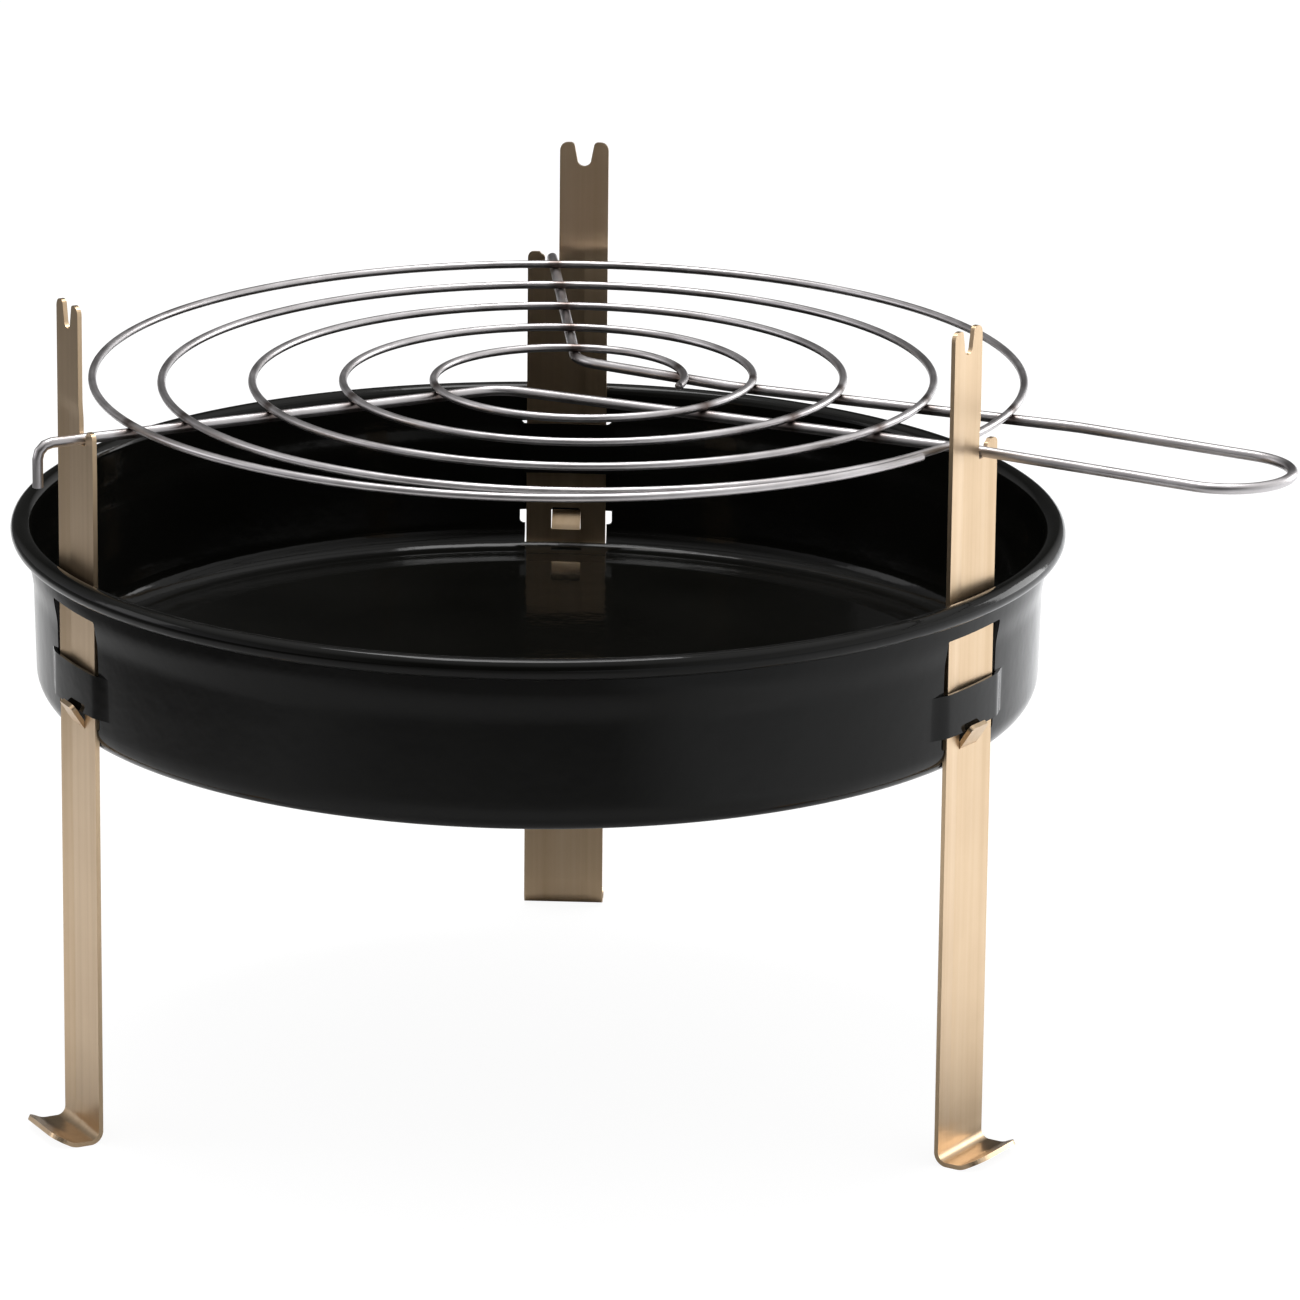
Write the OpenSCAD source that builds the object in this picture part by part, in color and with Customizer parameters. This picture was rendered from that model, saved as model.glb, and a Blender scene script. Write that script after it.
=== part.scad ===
// Table grill: a sheet-steel fire bowl hung between three strip legs, with a spiral wire grid
// whose handle wire lies in notches in the legs.
// Millimetres, +Z up. The origin is at table level in the middle of the whole outline, so the
// bowl's axis stands a little towards -X. +X runs out through the leg on the handle's side.

/* [Bowl] */
// diameter over the rolled rim
bowl_d = 350; // [346:1:356]
// height of the bowl's underside above the table
bowl_under_z = 132.3; // [131:0.1:134]
// sheet thickness
sheet_t = 1.0; // [0.8:0.1:1.1]
// outside radius of the rolled rim's tube
roll_r = 3.5; // [3:0.1:4]
// outside radius of the corner between floor and wall
corner_r = 9.5; // [8:0.5:11]
// radius of the raised centre of the floor
floor_step_r = 147; // [120:1:150]
// height of the raised centre of the floor
floor_step_h = 1.2; // [0.8:0.1:2]

/* [Leg openings in the bowl] */
// width of the openings
slot_w = 32.5; // [31.5:0.5:33]
// edge between the outer strap and the inner one above it
strap_z1 = 161; // [159:0.5:163]
// upper edge of the opening
window_z1 = 179; // [178.8:0.1:179.2]
// lower edge of the outer strap
strap_z0 = 146.5; // [146:0.1:147]
// lower edge of the opening
slot_z0 = 135.5; // [135.3:0.1:135.5]

/* [Legs] */
// width of the strip
leg_w = 28; // [27:0.5:28]
// thickness of the strip
leg_t = 1.5; // [1.2:0.1:1.5]
// distance of the strip's outer face from the bowl's axis
leg_face_r = 166.9; // [166.7:0.1:166.9]
// height of the leg
leg_h = 280; // [280:1:290]
// width of the narrow upper part
neck_w = 17; // [16:0.5:17]
// depth of the pressed crease
crease_d = 0.6; // [0.3:0.1:0.6]
// height at which the crease ends
crease_top_z = 250; // [200:1:252]

/* [Tongue hooks] */
// width of the tongue
tongue_w = 10; // [8:0.5:11]
// height of the tongue's root
tongue_z = 140; // [139:0.1:140]
// height of the tongue
tongue_h = 8.5; // [8:0.1:9]
// lean of the tongue away from the strip
tongue_a = 33; // [33:1:36]

/* [Wires] */
// diameter of the support wire
support_d = 3.5; // [3:0.1:3.5]
// diameter of the spiral wire
spiral_d = 2.7; // [2.4:0.1:2.8]
// height of the support wire's centre
support_z = 237.25; // [237.2:0.05:237.4]
// space between two turns of the spiral
spiral_pitch = 29.78; // [29:0.1:30]
// distance from the bowl's axis to the handle's far end
handle_reach = 264; // [250:1:290]

/* [Hidden] */
$fn = 96;
eps = 0.01;
leg_turn_back = 120;
leg_turn_left = 240;

// bowl profile
roll_z = 188.6;
roll_axis_r = bowl_d / 2 - roll_r;
wall_top_r = roll_axis_r - roll_r + sheet_t;
wall_flare_r = wall_top_r - 0.1;
wall_flare_z = 179;
wall_mid_r = wall_top_r - 1.4;
wall_mid_z = 172;
wall_low_r = wall_top_r - 2.1;
corner_z = bowl_under_z + corner_r;
corner_axis_r = wall_low_r - corner_r;
roll_gap_w = 1.2;
roll_gap_h = roll_r;
roll_key_w = 0.9 * sheet_t;
roll_key_h = 0.6;
floor_slope_w = 2;
cut_x0 = 155;
slot_step_z = 142;
slot_low_w = leg_w + 0.8;
strap_out_r = wall_top_r - 0.1;
strap_gap = 0.4;
strap_in_r = leg_face_r - leg_t - crease_d - strap_gap;
strap_half_w = slot_w / 2 + 2.3;
web_w = 2;
web_set = 1.4;
web_out_x = strap_out_r - web_set;
web_in_x = strap_in_r - web_set;

// leg profile, u runs along the strip's width
u_min = -leg_w / 2;
u_max = leg_w / 2;
neck_u = u_min + neck_w;
notch_z = 235.2;
notch_u = 8;
prong_z = 240.6;
prong_slope_z = 238;
prong_slope_w = 1.6;
prong_corner = 1.4;
notch_corner = 0.8;
tip_corner = 1.6;
fork_u = -5.5;
fork_top_w = 6.6;
fork_r = 2.4;
fork_z = 271.5;
crease_u = -6;
crease_half_w = 4;
crease_skin = 0.2;
tongue_side_gap = 0.2;
tongue_hole_h = tongue_h - 0.5;

// foot profile, bent outwards under the strip
heel_in_r = 3;
heel_out_r = heel_in_r + leg_t;
heel_x = leg_face_r + heel_in_r;
sole_l = 4;
tip_a = 27;
tip_in_r = 6;
tip_out_r = tip_in_r + leg_t;
tip_l = 5.6;
foot_end_r = 6;
foot_key = 0.5;
bend_steps = 12;
tip_steps = 4;
foot_x = leg_face_r + 15.6;

// wires
support_r = support_d / 2;
spiral_r = spiral_d / 2;
spiral_z = support_z + support_r + spiral_r - 0.15;
notch_wire_u = 5.15;
strip_mid_r = leg_face_r - leg_t / 2;
hook_r = 5;
hook_out_left = 11;
hook_out_back = 5;
hook_drop = 9.25;
collar_k = 1.02;
joint_gap = 0.1;
collar_l = 0.6;

axis_x = -(handle_reach + support_r - bowl_d / 2) / 2;

function heading(a, b) = atan2(b[1] - a[1], b[0] - a[0]);
function span(a, b) = norm(b - a);
function along(h) = [cos(h), sin(h)];
function leftward(h) = [-sin(h), cos(h)];
function wrap(a) = a > 180 ? a - 360 : (a < -180 ? a + 360 : a);
function notch_point(turn) = strip_mid_r * along(turn) + notch_wire_u * leftward(turn);

// stands a piece beside the bowl's axis, turned about it
module placed(turn) {
    translate([axis_x, 0, 0])
        rotate([0, 0, turn])
            children();
}

// joins two lengths of wire end to end
module collar(p, h, z, r) {
    translate([p[0], p[1], z])
        rotate([0, 90, h])
            cylinder(h = collar_l, r = r * collar_k, center = true);
}

// a round bar lying in the plan, from a point along a heading
module bar(p, h, l, z, r) {
    translate([p[0], p[1], z])
        rotate([0, 90, h])
            translate([0, 0, joint_gap])
                cylinder(h = l - 2 * joint_gap, r = r);
}

// a bent piece of bar that starts at p with a heading and turns left by a positive angle
module bend(p, h, turn, bend_r, z, r) {
    side = turn > 0 ? 1 : -1;
    c = p + side * bend_r * leftward(h);
    gap_a = joint_gap / bend_r * 180 / PI;
    first = (turn > 0 ? h - 90 : h + 90 + turn) + gap_a;
    translate([c[0], c[1], z])
        rotate([0, 0, first])
            rotate_extrude(angle = abs(turn) - 2 * gap_a)
                translate([bend_r, 0])
                    circle(r = r);
}

module bowl_sheet() {
    rotate_extrude() {
        // floor with its raised centre
        polygon([
            [0, bowl_under_z + floor_step_h],
            [floor_step_r - floor_slope_w, bowl_under_z + floor_step_h],
            [floor_step_r, bowl_under_z],
            [corner_axis_r, bowl_under_z],
            [corner_axis_r, bowl_under_z + sheet_t],
            [floor_step_r + sheet_t / 2, bowl_under_z + sheet_t],
            [floor_step_r - floor_slope_w + sheet_t / 2, bowl_under_z + floor_step_h + sheet_t],
            [0, bowl_under_z + floor_step_h + sheet_t]
        ]);
        // corner
        translate([corner_axis_r, corner_z])
            intersection() {
                difference() {
                    circle(r = corner_r);
                    circle(r = corner_r - sheet_t);
                }
                translate([0, -corner_r])
                    square([corner_r, corner_r]);
            }
        // wall
        polygon([
            [wall_low_r - sheet_t, corner_z],
            [wall_low_r, corner_z],
            [wall_mid_r, wall_mid_z],
            [wall_flare_r, wall_flare_z],
            [wall_top_r, roll_z],
            [wall_top_r - sheet_t, roll_z],
            [wall_flare_r - sheet_t, wall_flare_z],
            [wall_mid_r - sheet_t, wall_mid_z]
        ]);
        translate([wall_top_r - sheet_t / 2 - roll_key_w / 2, roll_z - roll_key_h / 2])
            square([roll_key_w, roll_key_h]);
        // rolled rim, open underneath beside the wall
        translate([roll_axis_r, roll_z])
            difference() {
                circle(r = roll_r);
                circle(r = roll_r - sheet_t);
                translate([-roll_r + sheet_t, -roll_r - eps])
                    square([roll_gap_w, roll_gap_h]);
                translate([-roll_r - eps, -roll_r - eps])
                    square([sheet_t + 2 * eps, roll_r + eps]);
            }
    }
}

// the opening that a leg's strip stands in
module leg_cut() {
    translate([cut_x0, -slot_w / 2, slot_step_z])
        cube([roll_axis_r - cut_x0, slot_w, window_z1 - slot_step_z]);
    translate([cut_x0, -slot_low_w / 2, slot_z0])
        cube([roll_axis_r - cut_x0, slot_low_w, slot_step_z - slot_z0 + eps]);
}

// outside radius of the wall at a height
function wall_r(z) = z < wall_mid_z
    ? wall_low_r + (wall_mid_r - wall_low_r) * (z - corner_z) / (wall_mid_z - corner_z)
    : wall_mid_r + (wall_flare_r - wall_mid_r) * (z - wall_mid_z) / (wall_flare_z - wall_mid_z);

// a strap across the opening, curved as the wall is
module band(out_r, z0, z1) {
    translate([0, 0, z0])
        linear_extrude(height = z1 - z0)
            intersection() {
                difference() {
                    circle(r = out_r);
                    circle(r = out_r - sheet_t);
                }
                translate([cut_x0, -strap_half_w])
                    square([roll_axis_r - cut_x0, 2 * strap_half_w]);
            }
}

// the two sides that join a strap to the wall, from their outline in side view
module webs(outline) {
    for (side = [-1, 1])
        translate([0, side > 0 ? strap_half_w : web_w - strap_half_w, 0])
            rotate([90, 0, 0])
                linear_extrude(height = web_w)
                    polygon(outline);
}

// the strip passes inside the outer strap and outside the inner one above it
module straps() {
    band(strap_out_r, strap_z0, strap_z1);
    webs([
        [wall_r(strap_z0) - web_set, strap_z0],
        [web_out_x, strap_z0],
        [web_out_x, strap_z1],
        [wall_r(strap_z1) - web_set, strap_z1]
    ]);
    band(strap_in_r, strap_z1, window_z1);
    webs([
        [web_in_x, strap_z1],
        [wall_r(strap_z1) - web_set, strap_z1],
        [wall_mid_r - web_set, wall_mid_z],
        [wall_r(window_z1) - web_set, window_z1],
        [web_in_x, window_z1]
    ]);
}

module bowl() {
    color([0.05, 0.05, 0.05])
        placed(0)
            union() {
                difference() {
                    bowl_sheet();
                    for (turn = [0, leg_turn_back, leg_turn_left])
                        rotate([0, 0, turn])
                            leg_cut();
                }
                for (turn = [0, leg_turn_back, leg_turn_left])
                    rotate([0, 0, turn])
                        straps();
            }
}

// outline of the upright strip, seen from outside
module strip_outline() {
    difference() {
        polygon([
            [u_min, heel_out_r],
            [u_max, heel_out_r],
            [u_max, prong_z - prong_corner],
            [u_max - prong_corner, prong_z],
            [notch_u + prong_slope_w, prong_z],
            [notch_u, prong_slope_z],
            [notch_u, notch_z + notch_corner],
            [notch_u - notch_corner, notch_z],
            [neck_u, notch_z],
            [neck_u, leg_h - tip_corner],
            [neck_u - tip_corner, leg_h],
            [u_min + tip_corner, leg_h],
            [u_min, leg_h - tip_corner]
        ]);
        // fork at the top
        translate([fork_u, fork_z + fork_r])
            circle(r = fork_r);
        polygon([
            [fork_u - fork_r, fork_z + fork_r],
            [fork_u + fork_r, fork_z + fork_r],
            [fork_u + fork_top_w / 2, leg_h + 1],
            [fork_u - fork_top_w / 2, leg_h + 1]
        ]);
        // opening left by the tongue
        translate([-tongue_w / 2 - tongue_side_gap, tongue_z])
            square([tongue_w + 2 * tongue_side_gap, tongue_hole_h]);
    }
}

// pressed crease: a V on one face, which shows as a ridge on the other
module crease_bar(face_x) {
    translate([0, 0, heel_out_r])
        linear_extrude(height = crease_top_z - heel_out_r)
            polygon([
                [face_x + crease_skin, crease_u - crease_half_w],
                [face_x - crease_d, crease_u],
                [face_x + crease_skin, crease_u + crease_half_w]
            ]);
}

module strip() {
    difference() {
        union() {
            translate([leg_face_r - leg_t, 0, 0])
                rotate([90, 0, 90])
                    linear_extrude(height = leg_t)
                        strip_outline();
            crease_bar(leg_face_r - leg_t);
        }
        crease_bar(leg_face_r);
    }
}

// points along an arc, as a strip's bends are drawn
function arc_pts(c, r, a0, a1, n) = [
    for (i = [0 : n]) c + r * along(a0 + (a1 - a0) * i / n)
];

// side view of the foot: heel bend, flat sole and turned-up tip
heel_c = [heel_x, heel_out_r];
tip_c = [heel_x + sole_l, tip_out_r];
tip_out = tip_c + tip_out_r * along(tip_a - 90);
tip_in = tip_c + tip_in_r * along(tip_a - 90);
foot_side = concat(
    [[leg_face_r, heel_out_r + foot_key], [leg_face_r - leg_t, heel_out_r + foot_key]],
    arc_pts(heel_c, heel_out_r, 180, 270, bend_steps),
    arc_pts(tip_c, tip_out_r, 270, 270 + tip_a, tip_steps),
    [tip_out + tip_l * along(tip_a), tip_in + tip_l * along(tip_a)],
    arc_pts(tip_c, tip_in_r, 270 + tip_a, 270, tip_steps),
    arc_pts(heel_c, heel_in_r, 270, 180, bend_steps)
);

// plan of the foot: a flange with rounded corners
end_c_x = foot_x - foot_end_r;
end_c_u = u_max - foot_end_r;
foot_plan = concat(
    [[leg_face_r - leg_t - 1, -u_max - 1], [end_c_x, -u_max - 1], [end_c_x, -u_max]],
    arc_pts([end_c_x, -end_c_u], foot_end_r, -90, 0, bend_steps),
    arc_pts([end_c_x, end_c_u], foot_end_r, 0, 90, bend_steps),
    [[end_c_x, u_max + 1], [leg_face_r - leg_t - 1, u_max + 1]]
);

module foot() {
    intersection() {
        translate([0, u_max, 0])
            rotate([90, 0, 0])
                linear_extrude(height = leg_w)
                    polygon(foot_side);
        translate([0, 0, -1])
            linear_extrude(height = 3 * heel_out_r)
                polygon(foot_plan);
    }
}

module tongue() {
    lean_x = tongue_h * tan(tongue_a);
    face_w = leg_t / cos(tongue_a);
    translate([0, tongue_w / 2, 0])
        rotate([90, 0, 0])
            linear_extrude(height = tongue_w)
                polygon([
                    [leg_face_r - leg_t, tongue_z - 2],
                    [leg_face_r - eps, tongue_z - 2],
                    [leg_face_r, tongue_z],
                    [leg_face_r + lean_x, tongue_z + tongue_h],
                    [leg_face_r + lean_x - face_w, tongue_z + tongue_h],
                    [leg_face_r - face_w + 0.3, tongue_z]
                ]);
}

module leg() {
    color([0.85, 0.68, 0.36])
        union() {
            strip();
            foot();
            tongue();
        }
}

module leg_back() {
    placed(leg_turn_back)
        leg();
}

module leg_left() {
    placed(leg_turn_left)
        leg();
}

module leg_right() {
    placed(0)
        leg();
}

// spiral of tangent arcs: each quarter turn's radius grows by a quarter of the pitch
spiral_start = [48.2, 9.9];
spiral_heading = 104.3;
tail_r = 37.7;
tail_sweep = 95.7;
inner_r = 43.6;
inner_sweep = 111.15;
quarters = 15;
first_r = 49.5;
closing_r = 153.4;
closing_sweep = 221;
arc_n = quarters + 3;
arc_radii = concat(
    [tail_r, inner_r],
    [for (i = [0 : quarters - 1]) first_r + i * spiral_pitch / 4],
    [closing_r]
);
function arc_r(i) = arc_radii[i];
function arc_sweep(i) = i == 0 ? tail_sweep
    : (i == 1 ? inner_sweep : (i < arc_n - 1 ? 90 : closing_sweep));
function arc_heading(i) = i == 0 ? spiral_heading : arc_heading(i - 1) + arc_sweep(i - 1);
function arc_start(i) = i == 0 ? spiral_start
    : arc_start(i - 1) + arc_r(i - 1) * (leftward(arc_heading(i - 1)) - leftward(arc_heading(i)));

module grid_spiral() {
    color([0.7, 0.7, 0.72])
        placed(0) {
            for (i = [0 : arc_n - 1])
                bend(arc_start(i), arc_heading(i), arc_sweep(i), arc_r(i), spiral_z, spiral_r);
            for (i = [1 : arc_n - 1])
                collar(arc_start(i), arc_heading(i), spiral_z, spiral_r);
        }
}

// corners of the support wire in plan, from the back leg round the handle to the left leg
back_notch = notch_point(leg_turn_back);
left_notch = notch_point(leg_turn_left);
far_corner = [-4, 28.3];
near_corner = [-4, -17.5];
far_elbow = [57, 29];
near_knee = [160, notch_wire_u];
handle_a = 1.2;
handle_w = 43.4;
handle_l = (handle_reach - handle_w / 2 - near_knee[0]) / cos(handle_a);
far_knee = near_knee + 17 * along(handle_a) + handle_w * leftward(handle_a);
near_loop = near_knee + handle_l * along(handle_a);
far_loop = near_loop + handle_w * leftward(handle_a);
back_heading = heading(far_corner, back_notch);
left_heading = heading(near_corner, left_notch);
back_end = back_notch + hook_out_back * along(back_heading);
left_end = left_notch + hook_out_left * along(left_heading);
far_run = [back_end, far_corner, far_elbow, far_knee, far_loop];
near_run = [near_loop, near_knee, near_corner, left_end];
far_bends = [0, 16, 60, 60, 0];
near_bends = [0, 40, 16, 0];
hook_gap_a = joint_gap / hook_r * 180 / PI;

function leg_of(pts, i) = heading(pts[i], pts[i + 1]);
function inside(pts, i) = i > 0 && i < len(pts) - 1;
function turn_at(pts, i) = inside(pts, i) ? wrap(leg_of(pts, i) - leg_of(pts, i - 1)) : 0;
function cut_at(pts, bends, i) = bends[i] * tan(abs(turn_at(pts, i)) / 2);
function bar_start(pts, bends, i) = pts[i] + cut_at(pts, bends, i) * along(leg_of(pts, i));
function bar_end(pts, bends, i) = pts[i + 1] - cut_at(pts, bends, i + 1) * along(leg_of(pts, i));

// a run of straight bars joined by rounded bends
module run(pts, bends) {
    for (i = [0 : len(pts) - 2])
        let (p = bar_start(pts, bends, i), q = bar_end(pts, bends, i)) {
            bar(p, leg_of(pts, i), span(p, q), support_z, support_r);
            collar(p, leg_of(pts, i), support_z, support_r);
            collar(q, leg_of(pts, i), support_z, support_r);
        }
    for (i = [1 : len(pts) - 2])
        bend(
            bar_end(pts, bends, i - 1),
            leg_of(pts, i - 1),
            turn_at(pts, i),
            bends[i],
            support_z,
            support_r
        );
}

// end of the support wire, bent down outside its leg
module end_hook(p, h) {
    translate([p[0], p[1], support_z])
        rotate([0, 0, h]) {
            translate([0, 0, -hook_r])
                rotate([90, 0, 0])
                    rotate([0, 0, hook_gap_a])
                        rotate_extrude(angle = 90 - 2 * hook_gap_a)
                            translate([hook_r, 0])
                                circle(r = support_r);
            translate([hook_r, 0, -hook_r - hook_drop])
                cylinder(h = hook_drop - joint_gap, r = support_r);
            translate([hook_r, 0, -hook_r])
                cylinder(h = collar_l, r = support_r * collar_k, center = true);
        }
}

module grid_handle() {
    color([0.6, 0.6, 0.62])
        placed(0) {
            run(far_run, far_bends);
            run(near_run, near_bends);
            bend(far_loop, handle_a, -180, handle_w / 2, support_z, support_r);
            end_hook(back_end, back_heading);
            end_hook(left_end, left_heading);
        }
}

bowl();
leg_back();
leg_left();
leg_right();
grid_spiral();
grid_handle();
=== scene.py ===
import math

import bmesh
import bpy
from mathutils import Matrix, Vector


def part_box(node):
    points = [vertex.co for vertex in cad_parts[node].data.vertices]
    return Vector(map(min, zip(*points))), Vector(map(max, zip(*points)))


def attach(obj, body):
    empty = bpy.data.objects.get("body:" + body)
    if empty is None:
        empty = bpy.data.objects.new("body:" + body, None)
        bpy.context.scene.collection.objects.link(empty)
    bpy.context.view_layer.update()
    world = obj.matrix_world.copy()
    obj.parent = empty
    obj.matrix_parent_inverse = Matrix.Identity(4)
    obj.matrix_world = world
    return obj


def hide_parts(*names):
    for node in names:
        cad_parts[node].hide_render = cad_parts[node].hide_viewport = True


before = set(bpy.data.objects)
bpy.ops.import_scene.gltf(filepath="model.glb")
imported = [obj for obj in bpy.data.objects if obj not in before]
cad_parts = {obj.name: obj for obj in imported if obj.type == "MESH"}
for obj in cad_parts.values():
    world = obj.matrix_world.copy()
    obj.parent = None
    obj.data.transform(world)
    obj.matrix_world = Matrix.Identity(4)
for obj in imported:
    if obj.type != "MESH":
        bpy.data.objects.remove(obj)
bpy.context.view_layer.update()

# ---------------------------------------------------------------- sizes, in millimetres
MM = 0.001
bowl_lo, bowl_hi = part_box("bowl")
AXIS_X = (bowl_lo[0] + bowl_hi[0]) / 2 / MM
BOWL_R = 175.0
SHEET_T = 1.0
UNDER_Z = bowl_lo[2] / MM
ROLL_R = 3.5
ROLL_Z = 188.6
CORNER_R = 9.5
WALL_LOW_R = 166.9
WALL_TOP_R = BOWL_R - 2 * ROLL_R + SHEET_T
STEP_R = 147.0
STEP_H = 1.2
SLOT_W = 32.5
SLOT_Z = (135.5, 179.0)
SLOT_STEP_Z = 142.0
SLOT_LOW_W = 28.8
SLOT_CORNER_R = 1.4
WINDOW_CORNER_R = 0.8
SLOT_CUT_R = 155.0
OUTER_STRAP = {"r": 168.4, "z0": 146.5, "z1": 161.0, "rows": 5, "edge": 14.3, "run": 8.5}
INNER_STRAP = {"r": 163.9, "z0": 161.0 + 0.05, "z1": 179.0, "rows": 8, "edge": 14.8, "run": 2.0}
STRAP_SHEET = 0.94
STRAP_END = 1.4
WALL_DRAFT = (0.7, 30.2)
WALL_FLARE = (1.35, 169.5, 10.5)
WALL_LIP = (0.05, 180.0, 8.6)
BOWL_STEPS = 300
BOWL_SHARP_DEG = 32

LEG_W = 28.0
LEG_T = 1.5
FACE_R = 166.9
LEG_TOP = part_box("leg_right")[1][2] / MM
NECK_W = 17.0
CREASE_U = -6.0
CREASE_D = 0.6
CREASE_TOP = 250.0
CREASE_FADE = 8
HEEL_FADE = 6
NOTCH_Z = 235.2
NOTCH_U = 8.0
PRONG_Z = 240.6
PRONG_R = 2.0
FOOT_R = 6.0
FORK_U = -5.5
FORK_R = 2.4
FORK_HALF_W = 3.3
FORK_Z = 271.5
TIP_R = 2.8
HORN_R = 1.5
EDGE_ROUND = 0.22
STRIP_SHARP_DEG = 5
TONGUE_W = 10.0
TONGUE_Z = 140.0
TONGUE_H = 8.5
TONGUE_A = math.radians(33)
TONGUE_R = 1.6
HOLE_GAP = 0.2

SUPPORT_R = 1.75
SPIRAL_R = 1.35
SUPPORT_Z = 237.25
SPIRAL_Z = SUPPORT_Z + SUPPORT_R + SPIRAL_R - 0.15
SPIRAL_START = (48.2, 9.9, 104.3)
SPIRAL_INNER = [(37.7, 95.7), (43.6, 111.15)]
SPIRAL_PITCH = 29.78
SPIRAL_FIRST_R = 49.5
SPIRAL_QUARTERS = 15
SPIRAL_LAST = (153.4, 221.0)
WIRE_U = 5.15
HOOK_R = 5.0
HOOK_END = -14.25
HANDLE_W = 43.4
HANDLE_REACH = 264.0
HANDLE_A = math.radians(1.2)
WIRE_SIDES = 20
WELD_REACH = 3.2
WIRE_SHARP_DEG = 40

VIEW_TURN = math.radians(33.33)
LEGS = {"leg_right": 0.0, "leg_back": 120.0, "leg_left": 240.0}


def polar(r, deg):
    """A point in plan from its radius and angle."""
    return Vector((r * math.cos(math.radians(deg)), r * math.sin(math.radians(deg))))


def place(x, y, z, turn=0.0):
    """A point beside the bowl's axis, turned about it, in metres in the row frame."""
    a = math.radians(turn)
    return Vector((
        (AXIS_X + x * math.cos(a) - y * math.sin(a)) * MM,
        (x * math.sin(a) + y * math.cos(a)) * MM,
        z * MM,
    ))


def arc(cx, cy, r, a0, a1, n):
    """Points along an arc, with angles in degrees."""
    return [
        (cx + r * math.cos(math.radians(a0 + (a1 - a0) * i / n)),
         cy + r * math.sin(math.radians(a0 + (a1 - a0) * i / n)))
        for i in range(n + 1)
    ]


def smooth(t):
    t = min(max(t, 0.0), 1.0)
    return t * t * (3 - 2 * t)


def finish_mesh(name, bm, material, body, node, sharp_deg):
    """A visual piece from its mesh, smooth except at edges sharper than an angle."""
    bmesh.ops.remove_doubles(bm, verts=bm.verts, dist=1e-6)
    bmesh.ops.recalc_face_normals(bm, faces=bm.faces)
    mesh = bpy.data.meshes.new(name)
    bm.to_mesh(mesh)
    bm.free()
    obj = bpy.data.objects.new(name, mesh)
    bpy.context.scene.collection.objects.link(obj)
    mesh.materials.append(material)
    mesh.shade_smooth()
    mesh.set_sharp_from_angle(angle=math.radians(sharp_deg))
    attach(obj, body)
    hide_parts(node)
    return obj


# ---------------------------------------------------------------- materials
def node_material(name):
    mat = bpy.data.materials.new(name)
    mat.use_nodes = True
    nt = mat.node_tree
    shader = nt.nodes["Principled BSDF"]
    return mat, nt, shader


def remap(nt, value):
    """From -1 ... 1 to 0 ... 1."""
    n = nt.nodes.new("ShaderNodeMath")
    n.operation = "MULTIPLY_ADD"
    nt.links.new(value, n.inputs[0])
    n.inputs[1].default_value = 0.5
    n.inputs[2].default_value = 0.5
    return n.outputs["Value"]


def ramp(nt, fac, stops):
    n = nt.nodes.new("ShaderNodeValToRGB")
    while len(n.color_ramp.elements) < len(stops):
        n.color_ramp.elements.new(0.5)
    for e, (pos, col) in zip(n.color_ramp.elements, stops):
        e.position = pos
        e.color = (*col, 1.0)
    nt.links.new(fac, n.inputs["Fac"])
    return n.outputs["Color"]


def grey(v):
    return (v, v, v)


def coords(nt, scale):
    """Object coordinates, scaled."""
    tc = nt.nodes.new("ShaderNodeTexCoord")
    mp = nt.nodes.new("ShaderNodeMapping")
    mp.inputs["Scale"].default_value = scale
    nt.links.new(tc.outputs["Object"], mp.inputs["Vector"])
    return mp.outputs["Vector"]


def noise(nt, vec, scale, detail=4.0, rough=0.55):
    n = nt.nodes.new("ShaderNodeTexNoise")
    n.inputs["Scale"].default_value = scale
    n.inputs["Detail"].default_value = detail
    n.inputs["Roughness"].default_value = rough
    nt.links.new(vec, n.inputs["Vector"])
    return n.outputs["Fac"]


def mix_colour(nt, fac, a, b, mode="MIX"):
    n = nt.nodes.new("ShaderNodeMix")
    n.data_type = "RGBA"
    n.blend_type = mode
    for sock, val in ((n.inputs[0], fac), (n.inputs[6], a), (n.inputs[7], b)):
        if hasattr(val, "is_linked"):
            nt.links.new(val, sock)
        elif isinstance(val, tuple):
            sock.default_value = (*val, 1.0)
        else:
            sock.default_value = val
    return n.outputs[2]


def bump(nt, shader, height, strength, distance, chain=None):
    n = nt.nodes.new("ShaderNodeBump")
    n.inputs["Strength"].default_value = strength
    n.inputs["Distance"].default_value = distance
    nt.links.new(height, n.inputs["Height"])
    if chain is not None:
        nt.links.new(chain, n.inputs["Normal"])
    nt.links.new(n.outputs["Normal"], shader.inputs["Normal"])
    return n.outputs["Normal"]


def enamel():
    mat, nt, sh = node_material("black_enamel")
    vec = coords(nt, (1, 1, 1))
    cloud = noise(nt, vec, 14.0, 5.0)
    fine = noise(nt, vec, 900.0, 3.0)
    col = ramp(nt, cloud, [(0.3, (0.0024, 0.0024, 0.0020)), (0.7, (0.0046, 0.0045, 0.0038))])
    nt.links.new(col, sh.inputs["Base Color"])
    rough = ramp(nt, cloud, [(0.25, grey(0.07)), (0.75, grey(0.13))])
    nt.links.new(rough, sh.inputs["Roughness"])
    sh.inputs["IOR"].default_value = 1.25
    n1 = bump(nt, sh, noise(nt, vec, 110.0, 2.0), 0.12, 0.0008)
    bump(nt, sh, fine, 0.05, 0.0001, n1)
    return mat


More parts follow.
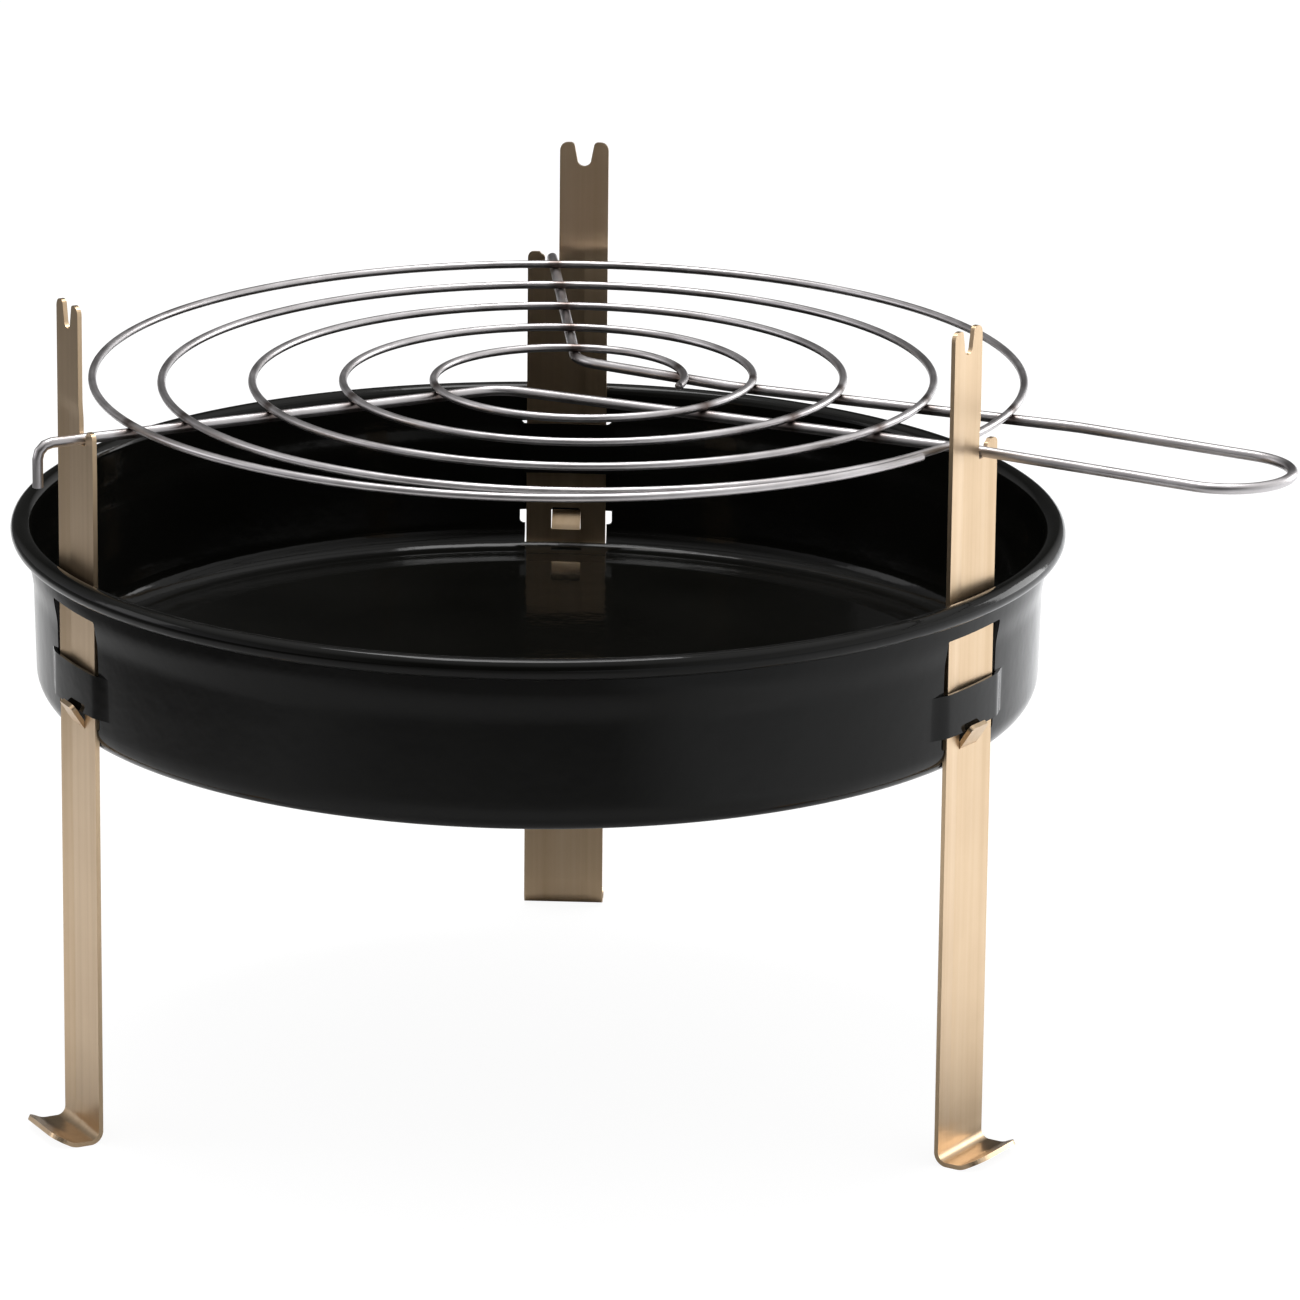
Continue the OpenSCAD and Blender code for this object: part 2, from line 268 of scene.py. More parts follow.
def plated_strip():
    mat, nt, sh = node_material("yellow_plated_steel")
    streak = noise(nt, coords(nt, (260, 260, 3.5)), 1.0, 5.0, 0.6)
    grain = noise(nt, coords(nt, (1600, 1600, 22)), 1.0, 4.0, 0.6)
    patch = noise(nt, coords(nt, (1, 1, 1)), 38.0, 4.0, 0.6)
    tint = ramp(nt, streak, [
        (0.28, (0.53, 0.375, 0.225)), (0.52, (0.63, 0.465, 0.30)), (0.78, (0.70, 0.545, 0.38)),
    ])
    cooler = ramp(nt, patch, [(0.3, (0.57, 0.42, 0.27)), (0.7, (0.66, 0.50, 0.33))])
    col = mix_colour(nt, 0.45, tint, cooler)
    nt.links.new(col, sh.inputs["Base Color"])
    sh.inputs["Metallic"].default_value = 1.0
    rough = ramp(nt, grain, [(0.2, grey(0.28)), (0.8, grey(0.38))])
    nt.links.new(rough, sh.inputs["Roughness"])
    bump(nt, sh, grain, 0.05, 0.00004)
    return mat


def plated_wire():
    mat, nt, sh = node_material("chromed_wire")
    vec = coords(nt, (1, 1, 1))
    cloud = noise(nt, vec, 60.0, 4.0)
    fine = noise(nt, vec, 1400.0, 3.0)
    base = ramp(nt, cloud, [(0.3, (0.40, 0.38, 0.38)), (0.7, (0.56, 0.54, 0.545))])
    att = nt.nodes.new("ShaderNodeAttribute")
    att.attribute_name = "weld"
    col = mix_colour(nt, att.outputs["Fac"], base, (0.13, 0.10, 0.09))
    nt.links.new(col, sh.inputs["Base Color"])
    sh.inputs["Metallic"].default_value = 1.0
    rough = ramp(nt, cloud, [(0.25, grey(0.28)), (0.75, grey(0.4))])
    nt.links.new(rough, sh.inputs["Roughness"])
    bump(nt, sh, fine, 0.12, 0.00005)
    return mat


ENAMEL = enamel()
STRIP = plated_strip()
WIRE = plated_wire()


# ---------------------------------------------------------------- bowl
def wall_mid(z):
    """Radius of the middle of the wall's sheet at a height."""
    low = UNDER_Z + CORNER_R
    grow, height = WALL_DRAFT
    r = WALL_LOW_R - SHEET_T / 2 + grow * min((z - low) / height, 1.0)
    grow, start, height = WALL_FLARE
    r += grow * smooth((z - start) / height)
    grow, start, height = WALL_LIP
    return min(r + grow * max(z - start, 0.0) / height, WALL_TOP_R - SHEET_T / 2)


def strap_mesh(turn, r, z0, z1, rows, edge, run):
    """A strap pressed out of the wall: ends in the wall, sloped sides, a curved middle."""
    us = [edge + run + STRAP_END, edge + run + STRAP_END / 2]
    us += [edge + run * (1 - i / 12) for i in range(13)]
    us += [12.5, 10.0, 7.5, 5.0, 2.5, 0.0]
    us = us + [-u for u in us[-2::-1]]
    half = STRAP_SHEET * SHEET_T / 2
    bm = bmesh.new()
    sides = {1: [], -1: []}
    for j in range(rows + 1):
        z = z0 + (z1 - z0) * j / rows
        base = wall_mid(z)
        line = []
        for u in us:
            f = 1 - smooth((abs(u) - edge) / run)
            here = base + (r - base) * f
            line.append(Vector((math.sqrt(here * here - u * u), u)))
        for side in (1, -1):
            row = []
            for i, p in enumerate(line):
                d = (line[min(i + 1, len(line) - 1)] - line[max(i - 1, 0)]).normalized()
                q = p + Vector((-d.y, d.x)) * side * half
                row.append(bm.verts.new(place(q.x, q.y, z, turn)))
            sides[side].append(row)
    last = len(us) - 1
    for side in (1, -1):
        for a, b in zip(sides[side], sides[side][1:]):
            for i in range(last):
                bm.faces.new((a[i], a[i + 1], b[i + 1], b[i]))
    for j in (0, rows):
        for i in range(last):
            a, b = sides[1][j], sides[-1][j]
            bm.faces.new((a[i], a[i + 1], b[i + 1], b[i]))
    for i in (0, last):
        for j in range(rows):
            a, b = sides[1], sides[-1]
            bm.faces.new((a[j][i], a[j + 1][i], b[j + 1][i], b[j][i]))
    bmesh.ops.recalc_face_normals(bm, faces=bm.faces)
    return bm


def tool_object(bm):
    """A loose object that the bowl is cut with or joined to."""
    mesh = bpy.data.meshes.new("tool")
    bm.to_mesh(mesh)
    bm.free()
    obj = bpy.data.objects.new("tool", mesh)
    bpy.context.scene.collection.objects.link(obj)
    return obj


def bowl_midline():
    """Middle of the sheet from the axis out over the floor, up the wall and round the rolled rim."""
    h = SHEET_T / 2
    z0 = UNDER_Z + h
    floor_rings, step_rings, wall_rings = 13, 10, 26
    floor_r = STEP_R - 6
    pts = [(0.0, z0 + STEP_H)]
    for i in range(1, floor_rings + 1):
        pts.append((floor_r * i / floor_rings, z0 + STEP_H))
    for i in range(step_rings + 1):
        t = i / step_rings
        pts.append((STEP_R - 4 + 5 * t, z0 + STEP_H * (1 - smooth(t))))
    rc = WALL_LOW_R - CORNER_R
    pts.append((rc - 3, z0))
    pts += arc(rc, UNDER_Z + CORNER_R, CORNER_R - h, -90, -2, 14)
    z_low = UNDER_Z + CORNER_R
    for i in range(1, wall_rings + 1):
        z = z_low + (ROLL_Z - z_low) * i / wall_rings
        pts.append((wall_mid(z), z))
    roll_c = BOWL_R - ROLL_R
    pts += arc(roll_c, ROLL_Z, ROLL_R - h, 180, -100, 34)[1:]
    return pts


def offset_line(pts, d):
    """A line beside another at a distance."""
    out = []
    for i, p in enumerate(pts):
        a = Vector(pts[max(i - 1, 0)])
        b = Vector(pts[min(i + 1, len(pts) - 1)])
        t = (b - a).normalized()
        out.append((p[0] + t.y * d, p[1] - t.x * d))
    return out


def turned_sheet(loop):
    """A closed outline of radius and height, turned about the bowl's axis."""
    bm = bmesh.new()
    rings = []
    for r, z in loop:
        if r < 1e-6:
            rings.append([bm.verts.new(place(0, 0, z))])
        else:
            rings.append([
                bm.verts.new(place(*polar(r, 360 * k / BOWL_STEPS), z)) for k in range(BOWL_STEPS)
            ])
    for a, b in zip(rings, rings[1:]):
        for k in range(BOWL_STEPS):
            k2 = (k + 1) % BOWL_STEPS
            if len(a) == 1:
                bm.faces.new((a[0], b[k2], b[k]))
            elif len(b) == 1:
                bm.faces.new((a[k], a[k2], b[0]))
            else:
                bm.faces.new((a[k], a[k2], b[k2], b[k]))
    bmesh.ops.recalc_face_normals(bm, faces=bm.faces)
    return bm


def slot_tool(turn):
    """The block that cuts a leg's opening into the wall."""
    w = SLOT_W / 2
    low = SLOT_LOW_W / 2
    c, d = SLOT_CORNER_R, WINDOW_CORNER_R
    z0, z1 = SLOT_Z
    outline = (
        [(low, z0), (low, SLOT_STEP_Z)] + arc(w - c, SLOT_STEP_Z + c, c, -90, 0, 5)
        + arc(w - d, z1 - d, d, 0, 90, 3)
        + arc(-w + d, z1 - d, d, 90, 180, 3)
        + arc(-w + c, SLOT_STEP_Z + c, c, 180, 270, 5) + [(-low, SLOT_STEP_Z), (-low, z0)]
    )
    bm = bmesh.new()
    near = [bm.verts.new(place(SLOT_CUT_R, u, z, turn)) for u, z in outline]
    far = [bm.verts.new(place(BOWL_R - ROLL_R, u, z, turn)) for u, z in outline]
    bm.faces.new(near)
    bm.faces.new(far[::-1])
    m = len(outline)
    for i in range(m):
        j = (i + 1) % m
        bm.faces.new((near[j], near[i], far[i], far[j]))
    bmesh.ops.recalc_face_normals(bm, faces=bm.faces)
    return tool_object(bm)


def build_bowl():
    line = bowl_midline()
    outer = offset_line(line, SHEET_T / 2)
    inner = offset_line(line, -SHEET_T / 2)
    outer[0] = (0.0, outer[0][1])
    inner[0] = (0.0, inner[0][1])
    bm = turned_sheet(outer + inner[::-1])
    mesh = bpy.data.meshes.new("bowl_pan")
    bm.to_mesh(mesh)
    bm.free()
    obj = bpy.data.objects.new("bowl_pan", mesh)
    bpy.context.scene.collection.objects.link(obj)
    tools = []
    for turn in LEGS.values():
        tools.append(("DIFFERENCE", slot_tool(turn)))
        tools.append(("UNION", tool_object(strap_mesh(turn, **OUTER_STRAP))))
        tools.append(("UNION", tool_object(strap_mesh(turn, **INNER_STRAP))))
    for operation, tool in tools:
        mod = obj.modifiers.new("cut", "BOOLEAN")
        mod.operation = operation
        mod.solver = "EXACT"
        mod.object = tool
    bpy.context.view_layer.update()
    dg = bpy.context.evaluated_depsgraph_get()
    cut_mesh = bpy.data.meshes.new_from_object(obj.evaluated_get(dg))
    obj.modifiers.clear()
    for _, tool in tools:
        tool_data = tool.data
        bpy.data.objects.remove(tool)
        bpy.data.meshes.remove(tool_data)
    bm = bmesh.new()
    bm.from_mesh(cut_mesh)
    bpy.data.objects.remove(obj)
    bpy.data.meshes.remove(mesh)
    bpy.data.meshes.remove(cut_mesh)
    finish_mesh("bowl_pan", bm, ENAMEL, "bowl", "bowl", BOWL_SHARP_DEG)


# ---------------------------------------------------------------- legs
HEEL_IN = 3.0
HEEL_OUT = HEEL_IN + LEG_T
HEEL_MID = (HEEL_IN + HEEL_OUT) / 2
HEEL_X = FACE_R + HEEL_IN
SOLE_L = 4.0
TIP_A = math.radians(27)
TIP_IN = 6.0
TIP_MID = TIP_IN + LEG_T / 2
TIP_L = 5.6
V_HEEL = HEEL_OUT
V_SOLE = V_HEEL - HEEL_MID * math.pi / 2
V_TIP = V_SOLE - SOLE_L
V_FLAT = V_TIP - TIP_MID * TIP_A
V_END = V_FLAT - TIP_L


def crease(u, v):
    """How far the pressed crease sets the strip back."""
    depth = CREASE_D
    if v > CREASE_TOP - CREASE_FADE:
        depth *= 1 - smooth((v - CREASE_TOP + CREASE_FADE) / CREASE_FADE)
    if v < V_HEEL + HEEL_FADE:
        depth *= smooth((v - V_HEEL) / HEEL_FADE)
    if u < CREASE_U:
        return depth * (u + LEG_W / 2) / (CREASE_U + LEG_W / 2)
    return depth * (LEG_W / 2 - u) / (LEG_W / 2 - CREASE_U)


def strip_point(u, v, n):
    """A point of the bent strip: u across it, v along it, n out of its outer face from the middle."""
    if v >= V_HEEL:
        return FACE_R - LEG_T / 2 + n - crease(u, v), u, v
    if v >= V_SOLE:
        a = math.pi + (V_HEEL - v) / HEEL_MID
        r = HEEL_MID - n
        return HEEL_X + r * math.cos(a), u, HEEL_OUT + r * math.sin(a)
    if v >= V_TIP:
        return HEEL_X + V_SOLE - v, u, LEG_T / 2 + n
    a = -math.pi / 2 + min(V_TIP - v, TIP_MID * TIP_A) / TIP_MID
    r = TIP_MID - n
    x = HEEL_X + SOLE_L + r * math.cos(a)
    z = TIP_IN + LEG_T + r * math.sin(a)
    if v < V_FLAT:
        x += (V_FLAT - v) * math.cos(TIP_A)
        z += (V_FLAT - v) * math.sin(TIP_A)
    return x, u, z


def strip_outline():
    """The leg's strip laid flat: width against length, from the foot's end up to the fork."""
    w = LEG_W / 2
    neck = -w + NECK_W
    v_round = V_END + FOOT_R
    levels = (60.0, 120.0, 200.0)
    out = [(w, V_HEEL)] + [(w, v) for v in levels]
    out += arc(w - PRONG_R, PRONG_Z - PRONG_R, PRONG_R, 0, 90, 6)
    out += [(NOTCH_U + 1.9, PRONG_Z)]
    out += arc(NOTCH_U + 1.3, PRONG_Z - 2.2, 1.3, 100, 180, 4)
    out += arc(NOTCH_U - 1.4, NOTCH_Z + 1.4, 1.4, 0, -90, 5)
    out += [(neck + 0.4, NOTCH_Z), (neck, NOTCH_Z + 0.4)]
    out += arc(neck - TIP_R, LEG_TOP - TIP_R, TIP_R, 0, 90, 6)
    out += arc(FORK_U + FORK_HALF_W + HORN_R, LEG_TOP - HORN_R, HORN_R, 90, 170, 5)
    out += arc(FORK_U, FORK_Z + FORK_R, FORK_R, 0, -180, 14)
    out += arc(FORK_U - FORK_HALF_W - HORN_R, LEG_TOP - HORN_R, HORN_R, 10, 90, 5)
    out += arc(-w + TIP_R, LEG_TOP - TIP_R, TIP_R, 90, 180, 6)
    out += [(-w, v) for v in levels[::-1]] + [(-w, V_HEEL), (-w, v_round)]
    out += arc(-w + FOOT_R, v_round, FOOT_R, 180, 270, 9)
    out += arc(w - FOOT_R, v_round, FOOT_R, 270, 360, 9)
    out += [(w, v_round)]
    clean = []
    for p in out:
        if not clean or (p[0] - clean[-1][0]) ** 2 + (p[1] - clean[-1][1]) ** 2 > 1e-6:
            clean.append(p)
    if (clean[0][0] - clean[-1][0]) ** 2 + (clean[0][1] - clean[-1][1]) ** 2 < 1e-6:
        clean.pop()
    return clean


def cut_flat(bm, point, across):
    geom = bm.verts[:] + bm.edges[:] + bm.faces[:]
    bmesh.ops.bisect_plane(bm, geom=geom, dist=1e-5, plane_co=point, plane_no=across)


def flat_sheet(loops, cuts_u, cuts_v):
    """A triangulated plane figure with holes, cut along lines so that it can be bent there."""
    bm = bmesh.new()
    edges = []
    for loop in loops:
        vs = [bm.verts.new((u, v, 0)) for u, v in loop]
        edges += [bm.edges.new((vs[i], vs[(i + 1) % len(vs)])) for i in range(len(vs))]
    bmesh.ops.triangle_fill(bm, use_beauty=True, use_dissolve=False, edges=edges)
    for u in cuts_u:
        cut_flat(bm, (u, 0, 0), (1, 0, 0))
    for v in cuts_v:
        cut_flat(bm, (0, v, 0), (0, 1, 0))
    return bm


def thicken(flat, point, turn, half):
    """Both faces and the edges of a sheet, from its flat figure and a rule that bends it."""
    bm = bmesh.new()
    flat.verts.index_update()
    sides = []
    for n in (half, -half):
        sides.append([bm.verts.new(place(*point(v.co.x, v.co.y, n), turn)) for v in flat.verts])
    for f in flat.faces:
        idx = [v.index for v in f.verts]
        bm.faces.new([sides[0][i] for i in idx])
        bm.faces.new([sides[1][i] for i in reversed(idx)])
    for e in flat.edges:
        if len(e.link_faces) == 1:
            a, b = e.verts[0].index, e.verts[1].index
            bm.faces.new((sides[0][a], sides[0][b], sides[1][b], sides[1][a]))
    return bm


def build_leg(name, turn):
    hole_w = TONGUE_W / 2 + HOLE_GAP
    hole_v = TONGUE_Z + TONGUE_H - 1.5
    hole = [(-hole_w, TONGUE_Z), (hole_w, TONGUE_Z)]
    hole += arc(hole_w - 1, hole_v, 1, 0, 90, 3) + arc(-hole_w + 1, hole_v, 1, 90, 180, 3)
    bends = [V_HEEL - HEEL_MID * math.pi / 2 * i / 24 for i in range(25)]
    bends += [V_TIP - TIP_MID * TIP_A * i / 8 for i in range(9)]
    bends += [V_HEEL + HEEL_FADE * i / 5 for i in range(1, 6)]
    bends += [CREASE_TOP - CREASE_FADE * i / 6 for i in range(7)]
    flat = flat_sheet([strip_outline(), hole], [CREASE_U], bends)
    bm = thicken(flat, strip_point, turn, LEG_T / 2)
    flat.free()
    # the tongue, lanced out of the strip and leaning away from it
    mid_x = FACE_R - LEG_T / 2

    def tongue_point(u, v, n):
        back = crease(u, TONGUE_Z) * (1 - smooth((v - TONGUE_Z + 2) / 4))
        if v <= 0:
            return mid_x + n * 0.98 - back, u, TONGUE_Z + v
        a = TONGUE_A * smooth(v / 2.0)
        rise = v * math.cos(TONGUE_A)
        out_x = rise * math.tan(TONGUE_A)
        return mid_x - back + out_x + n * math.cos(a), u, TONGUE_Z + rise - n * math.sin(a)

    half = TONGUE_W / 2
    length = TONGUE_H / math.cos(TONGUE_A) - 0.6
    r = TONGUE_R
    shape = [(-half, -2.0), (half, -2.0)]
    shape += arc(half - r, length - r, r, 0, 90, 5) + arc(-half + r, length - r, r, 90, 180, 5)
    flat = flat_sheet([shape], [], [0.0, 0.5, 1.0, 1.5, 2.0, 3.0])
    tongue = thicken(flat, tongue_point, turn, LEG_T / 2)
    flat.free()
    extra = bpy.data.meshes.new("tongue")
    tongue.to_mesh(extra)
    tongue.free()
    bm.from_mesh(extra)
    bpy.data.meshes.remove(extra)
    obj = finish_mesh(name + "_strip", bm, STRIP, name, name, STRIP_SHARP_DEG)
    mod = obj.modifiers.new("edges", "BEVEL")
    mod.width = EDGE_ROUND * MM
    mod.segments = 2
    mod.limit_method = "ANGLE"
    mod.angle_limit = math.radians(60)


# ---------------------------------------------------------------- wires
def tube(name, pts, r, welds, node, body):
    """A round wire swept along points, closed at both ends, darkened near its welds."""
    bm = bmesh.new()
    layer = bm.verts.layers.float.new("weld")
    rings = []
    up = Vector((0, 0, 1))
    n_pts = len(pts)
    normal = None
    for i, p in enumerate(pts):
        a = pts[max(i - 1, 0)]
        b = pts[min(i + 1, n_pts - 1)]
        t = (b - a).normalized()
        if normal is None:
            ref = up if abs(t.z) < 0.9 else Vector((1, 0, 0))
            normal = (ref - t * ref.dot(t)).normalized()
        else:
            normal = (normal - t * normal.dot(t)).normalized()
        side = t.cross(normal)
        near = min(((p - w).length for w in welds), default=1.0)
        shade = max(0.0, 1 - (near / (r * MM * WELD_REACH)) ** 2)
        ring = []
        for k in range(WIRE_SIDES):
            q = 2 * math.pi * k / WIRE_SIDES
            v = bm.verts.new(p + (normal * math.cos(q) + side * math.sin(q)) * r * MM)
            v[layer] = shade
            ring.append(v)
        rings.append(ring)
    for a, b in zip(rings, rings[1:]):
        for k in range(WIRE_SIDES):
            k2 = (k + 1) % WIRE_SIDES
            bm.faces.new((a[k], a[k2], b[k2], b[k]))
    for ring, end, inner in ((rings[0], pts[0], pts[1]), (rings[-1], pts[-1], pts[-2])):
        out = (end - inner).normalized()
        prev = ring
        for shrink, push in ((0.92, 0.14), (0.72, 0.26)):
            rise = out * r * MM * (push - 0.3)
            cur = [bm.verts.new(end + (v.co - end) * shrink + rise) for v in ring]
            for v in cur:
                v[layer] = ring[0][layer]
            for k in range(WIRE_SIDES):
                k2 = (k + 1) % WIRE_SIDES
                bm.faces.new((prev[k], prev[k2], cur[k2], cur[k]))
            prev = cur
        bm.faces.new(prev)
    finish_mesh(name, bm, WIRE, body, node, WIRE_SHARP_DEG)


def spiral_path():
    """Tangent arcs, each quarter turn's radius larger by a quarter of the pitch."""
    arcs = list(SPIRAL_INNER)
    arcs += [(SPIRAL_FIRST_R + i * SPIRAL_PITCH / 4, 90.0) for i in range(SPIRAL_QUARTERS)]
    arcs += [SPIRAL_LAST]
    x, y, h = SPIRAL_START
    pts = []
    for r, sweep in arcs:
        cx = x - r * math.sin(math.radians(h))
        cy = y + r * math.cos(math.radians(h))
        n = max(4, int(sweep * r / 150))
        for i in range(n):
            a = math.radians(h - 90 + sweep * i / n)
            pts.append(place(cx + r * math.cos(a), cy + r * math.sin(a), SPIRAL_Z))
        h += sweep
        x = cx + r * math.cos(math.radians(h - 90))
        y = cy + r * math.sin(math.radians(h - 90))
    pts.append(place(x, y, SPIRAL_Z))
    return pts


def rounded(points, radii, step=2.0):
    """A 3-D polyline with its corners rounded off."""
    out = [points[0]]
    for i in range(1, len(points) - 1):
        p, a, b = points[i], points[i - 1], points[i + 1]
        d1 = (a - p).normalized()
        d2 = (b - p).normalized()
        turn = math.pi - d1.angle(d2)
        cut = radii[i] * math.tan(turn / 2)
        centre = p + (d1 + d2).normalized() * radii[i] / math.cos(turn / 2)
        s = p + d1 * cut
        e = p + d2 * cut
        n = max(3, int(turn * radii[i] / step))
        va, vb = s - centre, e - centre
        ax = va.cross(vb).normalized()
        for k in range(n + 1):
            out.append(centre + Matrix.Rotation(turn * k / n, 3, ax) @ va)
    out.append(points[-1])
    dense = []
    for a, b in zip(out, out[1:]):
        n = max(1, int((b - a).length / 4.0))
        dense += [a.lerp(b, k / n) for k in range(n)]
    dense.append(out[-1])
    return dense


def support_path():
    """From the hook behind the back leg round the handle to the hook beside the left leg."""
    mid = FACE_R - LEG_T / 2
    u = WIRE_U

    def notch(turn):
        a = math.radians(turn)
        return Vector((mid * math.cos(a) - u * math.sin(a), mid * math.sin(a) + u * math.cos(a)))

    far_corner = Vector((-4, 28.3))
    near_corner = Vector((-4, -17.5))
    knee = Vector((160, u))
    along = Vector((math.cos(HANDLE_A), math.sin(HANDLE_A)))
    left = Vector((-math.sin(HANDLE_A), math.cos(HANDLE_A)))
    half_w = HANDLE_W / 2
    length = (HANDLE_REACH - half_w - knee.x) / along.x + half_w
    far_knee = knee + along * 17 + left * HANDLE_W
    near_end = knee + along * length
    far_end = near_end + left * HANDLE_W

    def hook(corner, tip, out):
        d = (tip - corner).normalized()
        p = tip + d * (out + HOOK_R)
        return [Vector((p.x, p.y, HOOK_END)), Vector((p.x, p.y, 0))]

    back = hook(far_corner, notch(120), 5.0)
    left_hook = hook(near_corner, notch(240), 11.0)
    flat = [far_corner, Vector((57, 29)), far_knee, far_end, near_end, knee, near_corner]
    pts = back + [Vector((p.x, p.y, 0)) for p in flat] + left_hook[::-1]
    radii = [0, HOOK_R, 16, 60, 60, half_w - 0.01, half_w - 0.01, 40, 16, HOOK_R, 0]
    return [place(q.x, q.y, SUPPORT_Z + q.z) for q in rounded(pts, radii)]


def crossings(a, b):
    """Where two wires that lie on each other cross, in plan."""
    hits = []
    for p, q in zip(a, a[1:]):
        for r, s in zip(b, b[1:]):
            d = (q.x - p.x) * (s.y - r.y) - (q.y - p.y) * (s.x - r.x)
            if abs(d) < 1e-12:
                continue
            t = ((r.x - p.x) * (s.y - r.y) - (r.y - p.y) * (s.x - r.x)) / d
            w = ((r.x - p.x) * (q.y - p.y) - (r.y - p.y) * (q.x - p.x)) / d
            if 0 <= t < 1 and 0 <= w < 1:
                hits.append(Vector((p.x + t * (q.x - p.x), p.y + t * (q.y - p.y), 0)))
    return hits


def build_grid():
    spiral = spiral_path()
    support = support_path()
    marks = crossings(spiral, support)
    top = [Vector((m.x, m.y, SPIRAL_Z * MM)) for m in marks]
    low = [Vector((m.x, m.y, SUPPORT_Z * MM)) for m in marks]
    tube("spiral_wire", spiral, SPIRAL_R, top, "grid_spiral", "grid")
    tube("handle_wire", support, SUPPORT_R, low, "grid_handle", "grid")


build_bowl()
for leg_name, leg_turn in LEGS.items():
    build_leg(leg_name, leg_turn)
build_grid()


# ---------------------------------------------------------------- floor, light and camera
FLOOR_HALF = 14.0
FRAME_PX = 1300.0
FOCAL_PX = 7968.7
SENSOR = 36.0
CAMERA_AT = (0, -2.55126, 0.89918)
CAMERA_YAW = 0.01468
CAMERA_PITCH = 0.2876
CAMERA_ROLL = 0.0107


def floor_distance(nt, vec, along):
    """Distance over the floor from its middle in one direction: -1 m is 0 and +1 m is 1."""
    dot = nt.nodes.new("ShaderNodeVectorMath")
    dot.operation = "DOT_PRODUCT"
    nt.links.new(vec, dot.inputs[0])
    dot.inputs[1].default_value = along
    return remap(nt, dot.outputs["Value"])


def build_stage():
    """A plain pale floor, overexposed for the camera; in reflections it is grey, with painted shade far to
    the left and towards the camera and a painted glow to the right.
    """
    mat, nt, sh = node_material("studio_floor")
    vec = coords(nt, (1, 1, 1))
    across = floor_distance(nt, vec, (math.cos(VIEW_TURN), math.sin(VIEW_TURN), 0.0))
    away = floor_distance(nt, vec, (-math.sin(VIEW_TURN), math.cos(VIEW_TURN), 0.0))
    # painted shade: in reflections the floor darkens far to the left and again towards the camera
    col = ramp(nt, across, [
        (0.05, grey(0.12)), (0.15, grey(0.17)), (0.20, grey(0.38)), (0.26, grey(0.64)), (0.34, grey(0.61)),
    ])
    front_shade = ramp(nt, away, [(0.20, grey(0.45)), (0.34, grey(1.0))])
    nt.links.new(mix_colour(nt, 1.0, col, front_shade, "MULTIPLY"), sh.inputs["Base Color"])
    # painted light: in reflections the floor glows to the right
    glow = ramp(nt, across, [(0.56, grey(0.0)), (0.64, (0.46, 0.47, 0.49)), (1.0, (0.52, 0.54, 0.56))])
    nt.links.new(glow, sh.inputs["Emission Color"])
    sh.inputs["Emission Strength"].default_value = 1.0
    sh.inputs["Roughness"].default_value = 0.9
    sh.inputs["Specular IOR Level"].default_value = 0.1
    lit = nt.nodes.new("ShaderNodeEmission")
    lit.inputs["Strength"].default_value = 0.93
    soft = nt.nodes.new("ShaderNodeBsdfDiffuse")
    soft.inputs["Color"].default_value = (0.12, 0.12, 0.12, 1)
    white = nt.nodes.new("ShaderNodeAddShader")
    nt.links.new(lit.outputs["Emission"], white.inputs[0])
    nt.links.new(soft.outputs["BSDF"], white.inputs[1])
    path = nt.nodes.new("ShaderNodeLightPath")
    mix = nt.nodes.new("ShaderNodeMixShader")
    nt.links.new(path.outputs["Is Camera Ray"], mix.inputs["Fac"])
    nt.links.new(sh.outputs["BSDF"], mix.inputs[1])
    nt.links.new(white.outputs["Shader"], mix.inputs[2])
    nt.links.new(mix.outputs["Shader"], nt.nodes["Material Output"].inputs["Surface"])
    bm = bmesh.new()
    far = FLOOR_HALF
    vs = [bm.verts.new((x, y, 0)) for x, y in ((-far, -far), (far, -far), (far, far), (-far, far))]
    bm.faces.new(vs)
    mesh = bpy.data.meshes.new("floor")
    bm.to_mesh(mesh)
    bm.free()
    floor = bpy.data.objects.new("floor", mesh)
    bpy.context.scene.collection.objects.link(floor)
    mesh.materials.append(mat)


def area_light(name, at, aim, size, power):
    data = bpy.data.lights.new(name, "AREA")
    data.shape = "RECTANGLE"
    data.size, data.size_y = size
    data.energy = power
    obj = bpy.data.objects.new(name, data)
    obj.location = at
    obj.rotation_euler = (Vector(aim) - Vector(at)).to_track_quat("-Z", "Y").to_euler()
    bpy.context.scene.collection.objects.link(obj)


def build_camera():
    cam = bpy.data.cameras.new("camera")
    cam.sensor_width = SENSOR
    cam.lens = FOCAL_PX * SENSOR / FRAME_PX
    cam.clip_start = 0.1
    cam.clip_end = 60.0
    obj = bpy.data.objects.new("camera", cam)
    yaw, pitch, roll = CAMERA_YAW, CAMERA_PITCH, CAMERA_ROLL
    fwd = Vector((math.sin(yaw) * math.cos(pitch), math.cos(yaw) * math.cos(pitch), -math.sin(pitch)))
    right = Vector((math.cos(yaw), -math.sin(yaw), 0))
    up = right.cross(fwd)
    r2 = right * math.cos(roll) + up * math.sin(roll)
    u2 = -right * math.sin(roll) + up * math.cos(roll)
    spin = Matrix.Rotation(VIEW_TURN, 3, "Z")
    m = Matrix((spin @ r2, spin @ u2, spin @ -fwd)).transposed().to_4x4()
    at = spin @ Vector(CAMERA_AT)
    m.translation = at + Vector((AXIS_X * MM, 0, 0))
    obj.matrix_world = m
    bpy.context.scene.collection.objects.link(obj)
    bpy.context.scene.camera = obj


